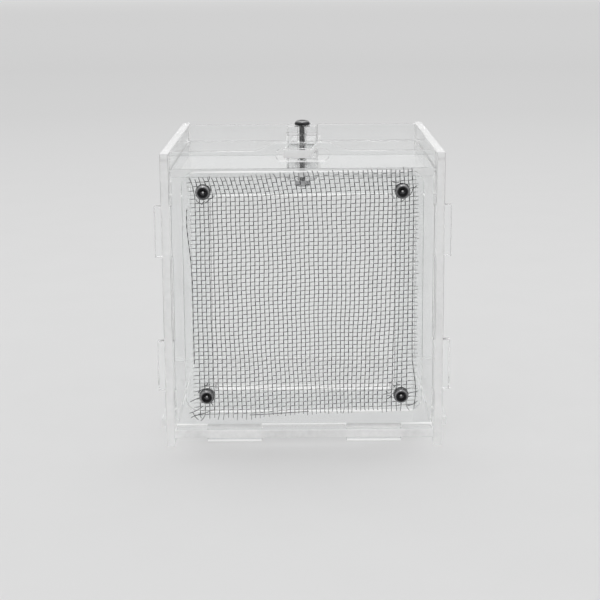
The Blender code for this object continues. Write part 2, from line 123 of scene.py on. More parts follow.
class SheetSettings(bpy.types.PropertyGroup):
    """Look of the clear sheets."""

    colour: bpy.props.FloatVectorProperty(
        name="Sheet colour", description="Tint of the clear sheet", subtype="COLOR",
        default=(0.99, 0.995, 0.995), min=0, max=1)
    edge_colour: bpy.props.FloatVectorProperty(
        name="Edge colour", description="Colour of the laser-cut edges", subtype="COLOR",
        default=(0.95, 0.95, 0.95), min=0, max=1)
    edge_cloudiness: bpy.props.FloatVectorProperty(
        name="Edge cloudiness",
        description="Share of light that a cut edge scatters as white does: side, upright and level sheets",
        default=(0.5, 0.25, 0.9), min=0, max=1, subtype="NONE")
    glow_cloudiness: bpy.props.FloatProperty(
        name="Glow cloudiness", description="The same share for the level edges that glow",
        default=1.0, min=0, max=1, subtype="FACTOR")
    # Painted glow: emission on the fully glowing level edges that stands in for light the sheet pipes to them
    painted_edge_glow: bpy.props.FloatProperty(
        name="Painted edge glow", description="Light that the sheet guides inside it to the level edges that glow",
        default=0.22, min=0)
    window_bottom: bpy.props.FloatProperty(
        name="Window bottom", description="Height of the window's lower edge", default=0.0207, unit="LENGTH")
    window_top: bpy.props.FloatProperty(
        name="Window top", description="Height of the window's upper edge", default=0.0916, unit="LENGTH")
    lid_cloudiness: bpy.props.FloatProperty(
        name="Lid cloudiness", description="The same share for the lid's edges",
        default=0.45, min=0, max=1, subtype="FACTOR")
    square_cloudiness: bpy.props.FloatProperty(
        name="Square cloudiness", description="The same share for the polished squares of the latch",
        default=0.03, min=0, max=1, subtype="FACTOR")
    edge_roughness: bpy.props.FloatProperty(
        name="Edge roughness", description="Roughness of the laser-cut edges", default=0.06, min=0, max=1)
    refractive_index: bpy.props.FloatProperty(
        name="Refractive index", description="Refractive index of cast acrylic", default=1.49, min=1, max=2)
    striation_pitch: bpy.props.FloatProperty(
        name="Striation pitch", description="Distance between the marks that the laser leaves across an edge",
        default=0.00035, min=0.00005, unit="LENGTH")


class MeshSettings(bpy.types.PropertyGroup):
    """Sizes and colours of the woven wire mesh."""

    warps: bpy.props.IntProperty(
        name="Upright wires", description="Number of upright wires", default=50, min=4)
    wefts: bpy.props.IntProperty(name="Level wires", description="Number of level wires", default=59, min=4)
    warp_pitch: bpy.props.FloatProperty(
        name="Upright pitch", description="Distance between upright wires", default=0.0016, unit="LENGTH")
    weft_pitch: bpy.props.FloatProperty(
        name="Level pitch", description="Distance between level wires", default=0.001466, unit="LENGTH")
    warp_diameter: bpy.props.FloatProperty(
        name="Upright wire diameter", description="Diameter of the upright wires", default=0.00031,
        unit="LENGTH")
    weft_diameter: bpy.props.FloatProperty(
        name="Level wire diameter", description="Diameter of the level wires", default=0.00024, unit="LENGTH")
    middle_x: bpy.props.FloatProperty(
        name="Middle X", description="How far the middle of the mesh is off to the right", default=-0.0002,
        unit="LENGTH")
    middle_height: bpy.props.FloatProperty(
        name="Middle height", description="Height of the middle of the mesh", default=0.0558, unit="LENGTH")
    slope: bpy.props.FloatProperty(
        name="Slope", description="How much the level wires climb to the right, as a share of their run",
        default=0.0465)
    top_pull: bpy.props.FloatProperty(
        name="Top pull", description="How far the upper ends of the upright wires are pulled to the left",
        default=0.0013, unit="LENGTH")
    lean: bpy.props.FloatProperty(
        name="Lean", description="How much the upright wires lean to the left, as a share of their height",
        default=0.03)
    stub: bpy.props.FloatProperty(
        name="Stub", description="Mean length of the cut ends past the last crossing wire", default=0.0017,
        unit="LENGTH")
    left_stub: bpy.props.FloatProperty(
        name="Left stub", description="The same at the left side, where the cut runs closer",
        default=0.0005, unit="LENGTH")
    seed: bpy.props.IntProperty(name="Seed", description="Seed of the frayed ends", default=7, min=0)
    dark_colour: bpy.props.FloatVectorProperty(
        name="Dark wire colour", description="Colour of the wire where it looks dark", subtype="COLOR",
        default=(0.02, 0.02, 0.02), min=0, max=1)
    # Painted highlight colour: the wires are mixed towards it where an attribute paints the light that one
    # slope of each crimp catches
    painted_highlight_colour: bpy.props.FloatVectorProperty(
        name="Painted highlight wire colour", description="Colour of the wire where it catches the light",
        subtype="COLOR", default=(0.66, 0.66, 0.66), min=0, max=1)


class ScrewSettings(bpy.types.PropertyGroup):
    """Sizes and colours of the screws, the nut and the washer."""

    thread_pitch: bpy.props.FloatProperty(
        name="Thread pitch", description="Pitch of the M3 thread", default=0.0005, unit="LENGTH")
    thread_depth: bpy.props.FloatProperty(
        name="Thread depth", description="Depth of the thread's groove", default=0.00028, unit="LENGTH")
    socket_across: bpy.props.FloatProperty(
        name="Socket", description="Hexagon socket of the vent screws, across its flats", default=0.0025,
        unit="LENGTH")
    bolt_socket_across: bpy.props.FloatProperty(
        name="Bolt socket", description="Hexagon socket of the latch bolt, across its flats", default=0.002,
        unit="LENGTH")
    knurls: bpy.props.IntProperty(
        name="Knurls", description="Ridges round a vent screw's head", default=24, min=6)
    knurl_depth: bpy.props.FloatProperty(
        name="Knurl depth", description="Depth of the grooves between the ridges", default=0.00014,
        unit="LENGTH")
    dark_colour: bpy.props.FloatVectorProperty(
        name="Screw colour", description="Colour of the blackened screws", subtype="COLOR",
        default=(0.12, 0.12, 0.125), min=0, max=1)
    bolt_colour: bpy.props.FloatVectorProperty(
        name="Bolt colour", description="Colour of the blackened latch bolt", subtype="COLOR",
        default=(0.03, 0.03, 0.031), min=0, max=1)
    plain_colour: bpy.props.FloatVectorProperty(
        name="Nut colour", description="Colour of the plain nut and washer", subtype="COLOR",
        default=(0.5, 0.5, 0.51), min=0, max=1)


class StageSettings(bpy.types.PropertyGroup):
    """Floor, light and camera."""

    # The floor is painted lighter near the object, a painted pool of light, and lighter far off, as painted
    # light against the lamps' fall-off
    floor_colour: bpy.props.FloatVectorProperty(
        name="Floor colour", description="Colour of the floor", subtype="COLOR", default=(0.73, 0.73, 0.73),
        min=0, max=1)
    far_colour: bpy.props.FloatVectorProperty(
        name="Far floor colour", description="Colour of the floor away from the object", subtype="COLOR",
        default=(0.66, 0.66, 0.66), min=0, max=1)
    horizon_colour: bpy.props.FloatVectorProperty(
        name="Horizon floor colour", description="Colour of the floor where it meets the backdrop",
        subtype="COLOR", default=(0.95, 0.95, 0.95), min=0, max=1)
    backdrop_colour: bpy.props.FloatVectorProperty(
        name="Backdrop colour", description="Colour seen beyond the floor", subtype="COLOR",
        default=(0.7, 0.7, 0.7), min=0, max=1)
    floor_radius: bpy.props.FloatProperty(
        name="Floor radius", description="Radius of the round floor", default=40.0, unit="LENGTH")
    world_strength: bpy.props.FloatProperty(
        name="World strength", description="Strength of the even light from all round", default=0.7, min=0)
    camera_place: bpy.props.FloatVectorProperty(
        name="Camera place", description="Where the camera stands", subtype="TRANSLATION", unit="LENGTH",
        default=(0.0, -0.53225, 0.1694))
    camera_pitch: bpy.props.FloatProperty(
        name="Camera pitch", description="How far the camera looks down", default=math.radians(10.928),
        subtype="ANGLE")
    camera_roll: bpy.props.FloatProperty(
        name="Camera roll", description="How far the camera is tilted clockwise", default=math.radians(0.365),
        subtype="ANGLE")
    focal_length: bpy.props.FloatProperty(
        name="Focal length", description="Focal length on a 36 mm wide sensor", default=83.6, min=1)
    shift_x: bpy.props.FloatProperty(name="Shift X", description="Sideways lens shift", default=-0.005)
    shift_y: bpy.props.FloatProperty(name="Shift Y", description="Upright lens shift", default=-0.1)


# Nodes of a material


def new_material(name):
    """An empty node material with its output."""
    material = bpy.data.materials.new(name)
    material.use_nodes = True
    material.node_tree.nodes.clear()
    output = material.node_tree.nodes.new("ShaderNodeOutputMaterial")
    return material, material.node_tree, output


def socket_for(made, key):
    """Input of a node: i and a number mean its place in the list, and any other key is its name."""
    if key[0] == "i" and key[1:].isdigit():
        return made.inputs[int(key[1:])]
    return made.inputs[key.replace("_", " ")]


def node(tree, kind, settings=(), **inputs):
    """A shader node with its settings, each input either linked to a socket or given a value."""
    made = tree.nodes.new(kind)
    for key, value in settings:
        setattr(made, key, value)
    for key, value in inputs.items():
        socket = socket_for(made, key)
        if isinstance(value, bpy.types.NodeSocket):
            tree.links.new(value, socket)
        else:
            socket.default_value = value
    return made


def maths(tree, operation, first, second=0.0):
    """Result of a Math node."""
    return node(tree, "ShaderNodeMath", [("operation", operation)], i0=first, i1=second).outputs[0]


def ramp_between(tree, value, low, high, start, end):
    """Value between start and end as the input goes from low to high, held outside."""
    made = node(
        tree, "ShaderNodeMapRange", [("clamp", True)], Value=value, From_Min=low, From_Max=high,
        To_Min=start, To_Max=end)
    return made.outputs["Result"]


def mixed_value(tree, share, first, second):
    """Number between two numbers."""
    return node(tree, "ShaderNodeMix", i0=share, i2=first, i3=second).outputs[0]


def mixed_colour(tree, share, first, second):
    """Colour between two colours."""
    made = node(tree, "ShaderNodeMix", [("data_type", "RGBA")], i0=share, i6=first, i7=second)
    return made.outputs[2]


def mixed_shader(tree, share, first, second):
    """Shader node between two shader nodes."""
    return node(tree, "ShaderNodeMixShader", Fac=share, i1=first.outputs[0], i2=second.outputs[0])


def noise(tree, place, scale, detail, stretch=(1, 1, 1)):
    """Noise at a number of features per metre, squeezed along each axis by stretch."""
    mapping = node(tree, "ShaderNodeMapping", Vector=place, Scale=[scale * s for s in stretch])
    made = node(tree, "ShaderNodeTexNoise", Vector=mapping.outputs[0], Scale=1.0, Detail=detail)
    return made.outputs["Fac"]


def relief(tree, height, strength, distance):
    """Normal of a surface with a fine relief."""
    return node(tree, "ShaderNodeBump", Strength=strength, Distance=distance, Height=height).outputs[0]


def rgba(colour, factor=1.0):
    """Colour with full alpha, made darker or lighter by a factor."""
    return (*[min(1.0, part * factor) for part in colour], 1.0)


def edge_glow(tree, height, depth, glows):
    """How much an edge glows, from its height and its depth.

    glows lists heights and their shares. The glow fades within a fraction of a millimetre from each
    height, and towards the back.
    """
    full_within = 0.0002
    none_beyond = 0.0004
    front_y = -0.045
    back_y = 0.05
    back_share = 0.3
    glow = 0.0
    for level, share in glows:
        off = maths(tree, "ABSOLUTE", maths(tree, "SUBTRACT", height, level))
        glow = maths(tree, "MAXIMUM", glow, ramp_between(tree, off, full_within, none_beyond, share, 0.0))
    return maths(tree, "MULTIPLY", glow, ramp_between(tree, depth, front_y, back_y, 1.0, back_share))


def cut_edge_shader(tree, depth, glow, settings):
    """White scattering of a cut edge, with a painted glow as emission where it glows fully, most of it on the
    vent frame.
    """
    glows_from = 0.75
    frame_back_y = -0.0443
    panel_front_y = -0.0438
    panel_share = 0.3
    painted_glow = ramp_between(tree, glow, glows_from, 1.0, 0.0, settings.painted_edge_glow)
    on_frame = ramp_between(tree, depth, frame_back_y, panel_front_y, 1.0, panel_share)
    return node(
        tree, "ShaderNodeBsdfPrincipled", Base_Color=rgba(settings.edge_colour), Roughness=1.0,
        Specular_IOR_Level=0.0, Emission_Color=(1, 1, 1, 1),
        Emission_Strength=maths(tree, "MULTIPLY", painted_glow, on_frame))


def clear_sheet_material(name, axis, cloudiness, settings, glows=()):
    """Clear acrylic with polished faces and laser-cut edges.

    The part of the object's own normal along the thin axis tells faces from edges. Edges are cloudier and
    rougher, with fine marks across the thickness. Edges at the listed heights glow, less so towards the
    back: they scatter whiter, and some carry a painted glow, emission that stands in for light that the
    sheet pipes to them. Faces have faint smears. Light for shadows passes straight through.
    """
    edge_below = 0.75
    face_above = 0.92
    along_marks = 0.05
    face_roughness = (0.015, 0.06)
    roughness_spread = (0.7, 1.4)
    cloud_spread = (0.95, 1.05)
    face_passing = (0.998, 0.998, 0.998, 1.0)
    edge_passing = (0.985, 0.985, 0.985, 1.0)
    material, tree, output = new_material(name)
    coordinates = tree.nodes.new("ShaderNodeTexCoord")
    place = coordinates.outputs["Object"]
    normal = node(tree, "ShaderNodeSeparateXYZ", Vector=coordinates.outputs["Normal"])
    facing = maths(tree, "ABSOLUTE", normal.outputs[axis])
    edge = ramp_between(tree, facing, edge_below, face_above, 1.0, 0.0)

    across = [along_marks if letter == axis else 1.0 for letter in "XYZ"]
    marks = noise(tree, place, 1 / settings.striation_pitch, detail=2.0, stretch=across)
    cloud = noise(tree, place, scale=500.0, detail=3.0)
    smear = noise(tree, place, scale=45.0, detail=5.0)
    polished = ramp_between(tree, smear, 0.45, 0.8, *face_roughness)
    edge_roughness = [settings.edge_roughness * share for share in roughness_spread]
    cut = ramp_between(tree, marks, 0.3, 0.7, *edge_roughness)
    roughness = mixed_value(tree, edge, polished, cut)

    ground = node(tree, "ShaderNodeSeparateXYZ", Vector=place)
    glow = edge_glow(tree, ground.outputs["Z"], ground.outputs["Y"], glows)
    patchy = ramp_between(tree, cloud, 0.3, 0.7, *[cloudiness * share for share in cloud_spread])
    cloudy = maths(tree, "MULTIPLY", edge, mixed_value(tree, glow, patchy, settings.glow_cloudiness))
    glass = node(
        tree, "ShaderNodeBsdfPrincipled", Base_Color=rgba(settings.colour), Roughness=roughness,
        IOR=settings.refractive_index, Transmission_Weight=1.0,
        Normal=relief(tree, maths(tree, "MULTIPLY", edge, marks), strength=0.05, distance=0.00002))
    body = mixed_shader(tree, cloudy, glass, cut_edge_shader(tree, ground.outputs["Y"], glow, settings))

    passing = mixed_colour(tree, edge, face_passing, edge_passing)
    through = node(tree, "ShaderNodeBsdfTransparent", Color=passing)
    light = tree.nodes.new("ShaderNodeLightPath")
    straight = maths(tree, "MAXIMUM", light.outputs["Is Shadow Ray"], light.outputs["Is Diffuse Ray"])
    tree.links.new(mixed_shader(tree, straight, body, through).outputs[0], output.inputs["Surface"])
    return material


def metal_material(name, colour, rough_low, rough_high, spread):
    """Metal whose colour and roughness vary in small patches, with a fine grain in its surface.

    An attribute of painted light is 0 for painted shade where little light gets in, 0.5 on the plain surface
    and 1 for a painted highlight in the colour of bare metal. Where it is low, the surface is dull too.
    """
    painted_shade_factor = 0.08
    dull_roughness = 0.9
    material, tree, output = new_material(name)
    place = tree.nodes.new("ShaderNodeTexCoord").outputs["Object"]
    patches = noise(tree, place, scale=900.0, detail=4.0)
    grain = noise(tree, place, scale=9000.0, detail=2.0)
    painted_light = node(tree, "ShaderNodeAttribute", [("attribute_name", "painted_light")]).outputs["Fac"]
    share = ramp_between(tree, patches, 0.35, 0.7, 0.0, 1.0)
    # Painted shade darkens the colour where the painted light is low, and a painted highlight turns it to
    # bare metal where it is high
    painted_shade_share = ramp_between(tree, painted_light, 0.0, 0.5, 1.0, 0.0)
    painted_highlight_share = ramp_between(tree, painted_light, 0.5, 1.0, 0.0, 1.0)
    tint = mixed_colour(tree, share, rgba(colour), rgba(colour, spread))
    tint = mixed_colour(tree, painted_shade_share, tint, rgba(colour, painted_shade_factor))
    tint = mixed_colour(tree, painted_highlight_share, tint, PAINTED_HIGHLIGHT_METAL)
    roughness = ramp_between(tree, patches, 0.3, 0.7, rough_low, rough_high)
    dull = ramp_between(tree, painted_light, 0.05, 0.35, dull_roughness, 0.0)
    shader = node(
        tree, "ShaderNodeBsdfPrincipled", Base_Color=tint, Metallic=1.0,
        Roughness=maths(tree, "MAXIMUM", roughness, dull),
        Normal=relief(tree, grain, strength=0.2, distance=0.00002))
    tree.links.new(shader.outputs[0], output.inputs["Surface"])
    return material


def wire_material(name, dark, light):
    """Drawn wire with a painted highlight: dark where its attribute of painted highlight is 0 and light where
    it is 1, dulled in patches.
    """
    material, tree, output = new_material(name)
    place = tree.nodes.new("ShaderNodeTexCoord").outputs["Object"]
    patches = noise(tree, place, scale=700.0, detail=3.0)
    grain = noise(tree, place, scale=12000.0, detail=2.0)
    painted_highlight = node(tree, "ShaderNodeAttribute", [("attribute_name", "painted_highlight")]).outputs["Fac"]
    dulled = maths(tree, "MULTIPLY", painted_highlight, ramp_between(tree, patches, 0.35, 0.65, 0.8, 1.0))
    shader = node(
        tree, "ShaderNodeBsdfPrincipled", Base_Color=mixed_colour(tree, dulled, rgba(dark), rgba(light)),
        Metallic=1.0, Roughness=ramp_between(tree, patches, 0.3, 0.7, 0.3, 0.42),
        Normal=relief(tree, grain, strength=0.15, distance=0.00001))
    tree.links.new(shader.outputs[0], output.inputs["Surface"])
    return material


def wear(obj, material):
    """Give an object one material."""
    obj.data.materials.clear()
    obj.data.materials.append(material)


# Surfaces from arrays


def tube_quads(tubes, rings, sides, closed=False):
    """Quads between neighbouring rings of each tube. A closed tube's last ring joins its first."""
    last = rings if closed else rings - 1
    tube, ring, side = np.meshgrid(np.arange(tubes), np.arange(last), np.arange(sides), indexing="ij")
    here = (tube * rings + ring) * sides
    there = (tube * rings + (ring + 1) % rings) * sides
    after = (side + 1) % sides
    return np.stack([here + side, here + after, there + after, there + side], axis=-1).reshape(-1, 4)


def new_piece(name, points, body, material, nodes, attribute, values, closed=False):
    """A finished piece: poles merged, faces turned outwards, riding on its body.

    points is laid out by tube, ring and side. values has one number per point, stored as the named
    attribute.
    """
    mesh = bpy.data.meshes.new(name)
    quads = tube_quads(*points.shape[:3], closed)
    mesh.from_pydata(points.reshape(-1, 3).tolist(), [], quads.tolist())
    mesh.attributes.new(attribute, "FLOAT", "POINT").data.foreach_set("value", values.ravel())
    work = bmesh.new()
    work.from_mesh(mesh)
    bmesh.ops.remove_doubles(work, verts=work.verts, dist=MERGE_DISTANCE)
    bmesh.ops.recalc_face_normals(work, faces=work.faces)
    work.to_mesh(mesh)
    work.free()
    mesh.shade_smooth()
    mesh.set_sharp_from_angle(angle=SHARP_ANGLE)
    piece = bpy.data.objects.new(name, mesh)
    bpy.context.scene.collection.objects.link(piece)
    wear(piece, material)
    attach(piece, body)
    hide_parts(*nodes)


def wire_tubes(paths, radius, sides):
    """Points of round wires along many paths at once.

    A ring is its path's point plus the radius times (cosine times the side vector plus sine times the
    face vector). The side vector is square to the path and to Y. A ring of no radius closes each end.
    """
    along = np.gradient(paths, axis=1)
    along /= np.linalg.norm(along, axis=2, keepdims=True)
    side = np.cross(along, np.array([0.0, 1.0, 0.0]))
    side /= np.linalg.norm(side, axis=2, keepdims=True)
    face = np.cross(side, along)
    angles = np.arange(sides) * TURN / sides
    cosines = np.cos(angles)[:, None]
    sines = np.sin(angles)[:, None]
    spokes = cosines * side[:, :, None, :] + sines * face[:, :, None, :]
    rings = paths[:, :, None, :] + radius * spokes
    start = np.broadcast_to(paths[:, :1, None, :], rings[:, :1].shape)
    end = np.broadcast_to(paths[:, -1:, None, :], rings[:, -1:].shape)
    return np.concatenate([start, rings, end], axis=1)


def ring_points(radii, heights, angles):
    """Points of rings about Z: radius times cosine, radius times sine, and height."""
    return np.stack([radii * np.cos(angles), radii * np.sin(angles), heights], axis=-1)


def rings_with_painted_light(rings, angles):
    """One tube's points and painted light, from rings of (radius, height, painted light), each one number or
    one per angle.
    """
    columns = [[np.broadcast_to(part, angles.shape) for part in column] for column in zip(*rings)]
    radii, heights, painted_light_values = [np.array(column) for column in columns]
    return ring_points(radii, heights, angles)[None], painted_light_values


def hexagon(angles, across):
    """Distance from the middle to a hexagon's side.

    It is half the size across flats over the cosine of the angle from the nearest flat's middle.
    """
    return across / 2 / np.cos((angles + math.pi / 6) % (math.pi / 3) - math.pi / 6)


def thread_radius(angles, heights, radius, depth, pitch):
    """Radius of a thread.

    It falls and rises by its depth once each pitch, with small flats at crest and root, and climbs one
    pitch each turn.
    """
    flat_share = 0.125
    turn = (heights / pitch - angles / TURN) % 1.0
    groove = 1 - np.abs(2 * turn - 1)
    return radius - depth * np.clip((1 + 2 * flat_share) * groove - flat_share, 0, 1)


# The woven mesh


def bump_at(value, middle, width):
    """Bell curve about a middle."""
    return np.exp(-((value - middle) / width) ** 2)


def waves(x, rise, rows):
    """Sum of sine waves, one for each row of height, radians per metre up and across, and start."""
    return sum(height * np.sin(rise * up + x * across + start) for height, up, across, start in rows)


def pushed_from_screws(x, z):
    """The weave opened round each screw's shank.

    The distance to the screw becomes the root of its square plus the square of the hole's radius times a
    bell curve.
    """
    hole = 0.0019
    reach = 0.0022
    tiny = 1e-12
    for name in VENT_SCREWS:
        low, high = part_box(name)
        away_x = x - (low.x + high.x) / 2
        away_z = z - (low.z + high.z) / 2
        square = away_x ** 2 + away_z ** 2 + tiny
        grown = np.sqrt(1 + hole ** 2 * np.exp(-square / reach ** 2) / square)
        x = x + away_x * (grown - 1)
        z = z + away_z * (grown - 1)
    return x, z


def mesh_place(across, up, settings, plane):
    """Where a point of the weave lies, from its number across and its number up.

    It is the pitch times the number, sheared by the slope, with a lean that turns over right of the
    middle, soft waves, a pull to the left above the window, and a push away from each screw. The weave
    bulges a little to the front between its edges, and its edges curl forward.
    """
    half_width = 0.04
    lean_turns_at = 0.014
    lean_turns_over = 0.012
    right_lean = 0.3
    pull_from = 0.092
    pull_over = 0.008
    most_pull = 1.3
    edge_x = 0.041
    edge_rise = 0.043
    curl_from = 0.93
    curl_over = 0.07
    most_curl = 1.5
    curl_depth = 0.0005
    bulge_depth = 0.00012

    x = (across - (settings.warps - 1) / 2) * settings.warp_pitch
    rise = (up - (settings.wefts - 1) / 2) * settings.weft_pitch
    z = settings.middle_height + rise + settings.slope * x
    inside = 1 - np.clip(np.abs(x) / half_width, 0, 1) ** 4
    turning = np.tanh((lean_turns_at - x) / lean_turns_over) - right_lean
    band = np.clip((z - pull_from) / pull_over, 0, most_pull)
    x = x + settings.middle_x - settings.lean * rise * turning * inside
    x = x - settings.top_pull * band * (1 - x / (2 * half_width))
    x = x + inside * waves(x, rise, SIDEWAYS_WAVES)
    z = z + waves(x, rise, UPRIGHT_WAVES)
    x, z = pushed_from_screws(x, z)
    edge = np.maximum(np.abs(x) / edge_x, np.abs(rise) / edge_rise)
    curl = curl_depth * np.clip((edge - curl_from) / curl_over, 0, most_curl) ** 2
    bulge = bulge_depth * (1 + waves(x, rise, BULGE_WAVES)) * (1 - edge.clip(0, 1) ** 8)
    return np.stack([x, plane - curl - bulge, z], axis=-1)


def painted_wire_highlight(points, climb, upright):
    """Painted highlight of each point of the wires, from how steeply it climbs from back to front.

    It stands in for the light that one slope of each crimp catches. It swings about one half, less so in a
    patch near the middle, and is lifted low down, which paints the wires lighter there. Upright wires get
    less of it than level ones.
    """
    full_swing = 0.8
    patch_loss = 0.45
    patch_x = 0.006
    patch_width = 0.014
    patch_z = 0.045
    patch_height = 0.022
    low_lift = 0.25
    low_z = 0.015
    low_height = 0.012
    upright_share = 0.75
    least_level = 0.12

    x = points[:, :, 0]
    z = points[:, :, 2]
    patch = bump_at(x, patch_x, patch_width) * bump_at(z, patch_z, patch_height)
    swing = full_swing - patch_loss * patch
    lift = low_lift * bump_at(z.clip(low_z, None), low_z, low_height)
    painted_highlight = (0.5 + lift + swing * climb).clip(0, 1)
    return upright_share * painted_highlight if upright else least_level + (1 - least_level) * painted_highlight


def weave_paths(settings, plane, upright, random):
    """Paths of all upright or all level wires, and the painted highlight of each of their points.

    A wire runs past the last crossing wire by its own stub at each end, and its stubs bend a little. The
    bends at its start are largest near the two sides of the weave. Its depth is the crimp times both
    diameters times the cosine of half a turn for each crossing, with the other sign on the next wire. It
    climbs from back to front as the sine of the same angle tells.
    """
    points_per_crossing = 4
    stub_spread = (0.7, 1.25)
    first_wire_ends = (0.22, 0.875)
    stub_bend = 0.09
    left_bend = 3.5
    right_bend = 2
    place_spread = 0.025
    crimp = 0.265
    stub_lift = 0.0003

    wires, crossings = (settings.warps, settings.wefts) if upright else (settings.wefts, settings.warps)
    pitch = settings.weft_pitch if upright else settings.warp_pitch
    number = np.arange(wires, dtype=float)[:, None]
    mean = np.array([settings.stub if upright else settings.left_stub, settings.stub])
    stubs = mean / pitch * random.uniform(*stub_spread, (wires, 2))
    share = np.linspace(0, 1, (crossings + 1) * points_per_crossing)[None, :]
    low = -stubs[:, :1]
    high = crossings - 1 + stubs[:, 1:]
    if upright:
        low[0], high[0] = [end * crossings for end in first_wire_ends]
    along = low + (high - low) * share
    past = np.maximum(-along, along - (crossings - 1)).clip(0, None)
    sideways = number / (wires - 1)
    bends = random.normal(0, stub_bend, (wires, 2))
    bends[:, :1] *= 1 + left_bend * bump_at(sideways, 0, 0.06) + right_bend * bump_at(sideways, 1, 0.05)
    bend = np.where(along < 0, bends[:, :1], bends[:, 1:])
    offset = bend * past ** 1.5 + random.normal(0, place_spread, (wires, 1))
    if upright:
        # The first wire bows to the left high up, and the last one to the right low down
        height = along / (crossings - 1)
        offset = offset - np.where(number == 0, bump_at(height, 0.84, 0.15), 0)
        offset = offset + np.where(number == wires - 1, 0.85 * bump_at(height, 0.06, 0.1), 0)
        points = mesh_place(number + offset, along, settings, plane)
    else:
        points = mesh_place(along, number + offset, settings, plane)
    sign = np.where(number % 2 == 0, 1.0, -1.0) * (1 if upright else -1)
    both_diameters = settings.warp_diameter + settings.weft_diameter
    points[:, :, 1] += sign * np.cos(math.pi * along) * both_diameters * crimp
    points[:, :, 1] -= stub_lift * past * random.uniform(0, 1, (wires, 1))
    climb = sign * np.sin(math.pi * along.clip(0, crossings - 1))
    return points, painted_wire_highlight(points, climb, upright)


def loose_paths(plane, random):
    """Paths of the loose cut ends: short bent wires round each screw, and the listed ones.

    Each path starts at its own place in its own direction, and its direction turns by its own curl along
    its length: the points are the running sums of the sines and cosines of the direction.
    """
    wires_at_screw = 4
    path_points = 24
    distance_range = (0.0030, 0.0038)
    turn_range = (1.0, 1.9)
    curl_spread = 1.6
    length_range = (0.0014, 0.0032)
    bow_range = (0.3, 1.0)
    gap = 0.0003
    bow_depth = 0.0006

    boxes = [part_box(name) for name in VENT_SCREWS]
    middles = np.array([[(low + high).x / 2, (low + high).z / 2] for low, high in boxes])
    angles = random.uniform(0, TURN, (len(middles), wires_at_screw))
    out = random.uniform(*distance_range, angles.shape)
    start_x = middles[:, :1] + out * np.cos(angles)
    start_z = middles[:, 1:] + out * np.sin(angles)
    turns = angles + random.choice([-1, 1], angles.shape) * random.uniform(*turn_range, angles.shape)
    curls = random.normal(0, curl_spread, angles.shape)
    lengths = random.uniform(*length_range, angles.shape)
    table = np.stack([start_x, start_z, turns, curls, lengths], axis=-1).reshape(-1, 5)
    table = np.concatenate([table, np.array(LOOSE_ENDS)])
    begin_x, begin_z, first_turn, curl, length = table.T[:, :, None]
    share = np.linspace(0, 1, path_points)[None, :]
    turn = first_turn + curl * share
    step = length / (path_points - 1)
    x = begin_x + np.cumsum(np.cos(turn), axis=1) * step
    z = begin_z + np.cumsum(np.sin(turn), axis=1) * step
    bow = bow_depth * np.sin(math.pi * share * random.uniform(*bow_range, (len(table), 1)))
    return np.stack([x, plane - gap - bow, z], axis=-1)


class TERRARIUM_OT_wire_mesh(bpy.types.Operator):
    """Weave the hand-cut wire mesh over the window."""

    bl_idname = "terrarium.wire_mesh"
    bl_label = "Wire Mesh"

    def execute(self, context):
        settings = context.scene.terrarium_mesh
        sides = 5
        # Painted highlight of the loose ends, held low
        loose_painted_highlight = 0.2
        low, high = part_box("vent_mesh")
        plane = (low.y + high.y) / 2
        random = np.random.default_rng(settings.seed)
        wire = wire_material("mesh_wire", settings.dark_colour, settings.painted_highlight_colour)
        loose = loose_paths(plane, random)
        painted_highlight_of_loose = np.full(loose.shape[:2], loose_painted_highlight)
        parts = {
            "vent_mesh_warp": (*weave_paths(settings, plane, True, random), settings.warp_diameter),
            "vent_mesh_weft": (*weave_paths(settings, plane, False, random), settings.weft_diameter),
            "vent_mesh_loose_ends": (loose, painted_highlight_of_loose, settings.weft_diameter),
        }
        for name, (paths, painted_highlight, diameter) in parts.items():
            points = wire_tubes(paths, diameter / 2, sides)
            painted_highlight = np.concatenate([painted_highlight[:, :1], painted_highlight, painted_highlight[:, -1:]], axis=1)
            painted_highlight = np.broadcast_to(painted_highlight[:, :, None], points.shape[:3])
            new_piece(name, points, "enclosure", wire, ["vent_mesh"], "painted_highlight", painted_highlight)
        return {"FINISHED"}


# Screws, bolt and nut


def socket_rings(angles, top, across, depth, crown):
    """Rings of a hexagon socket, as (radius, height, painted light), from its drilled middle to the head's
    top.
    """
    lip = 0.0001
    corner = 0.00008
    drill_share = 0.3
    cone_radius_share = 0.4
    cone_depth_share = 0.18
    mouth_share = 0.56
    wall_painted_shade = 0.1
    socket = hexagon(angles, across)
    floor = top - depth
    # Painted highlight at the drill point's tip, and painted shade on the socket's floor and walls
    return [
        (0, floor - across * drill_share, 1.0),
        (cone_radius_share * socket, floor - across * cone_depth_share, 0.5),
        (socket, floor, 0.05),
        (socket, top - lip, wall_painted_shade),
        (socket, top - corner, wall_painted_shade),
        (np.maximum(socket, across * mouth_share) + lip, top, crown),
    ]


def head_rings(angles, profile, painted_light_values, knurls, knurl_depth):
    """Rings of a head, as (radius, height, painted light), with ridges on its side where knurls is more than
    0.

    The painted light goes from the crown's to the dome's and then to the rim's, as the head gets wider:
    painted shade round the socket and a painted highlight on the dome. Painted shade makes it darker in the
    grooves.
    """
    knurled_below = 0.0012
    smooth_below = 0.0003
    groove_painted_shade = 0.3
    tone_places = (0, 0.4, 0.8, 1)
    crown, dome, rim = painted_light_values
    first = profile[0][0]
    last = profile[-2][0]
    rings = []
    for radius, height in profile:
        groove = 0 * angles
        if knurls and height < knurled_below:
            groove = 0.5 + 0.5 * np.cos(angles * knurls)
        painted_light = np.interp((radius - first) / (last - first), tone_places, [crown, dome, dome, rim])
        shape = radius - knurl_depth * groove * (height > smooth_below)
        rings.append((shape, height, painted_light - groove_painted_shade * groove))
    return rings


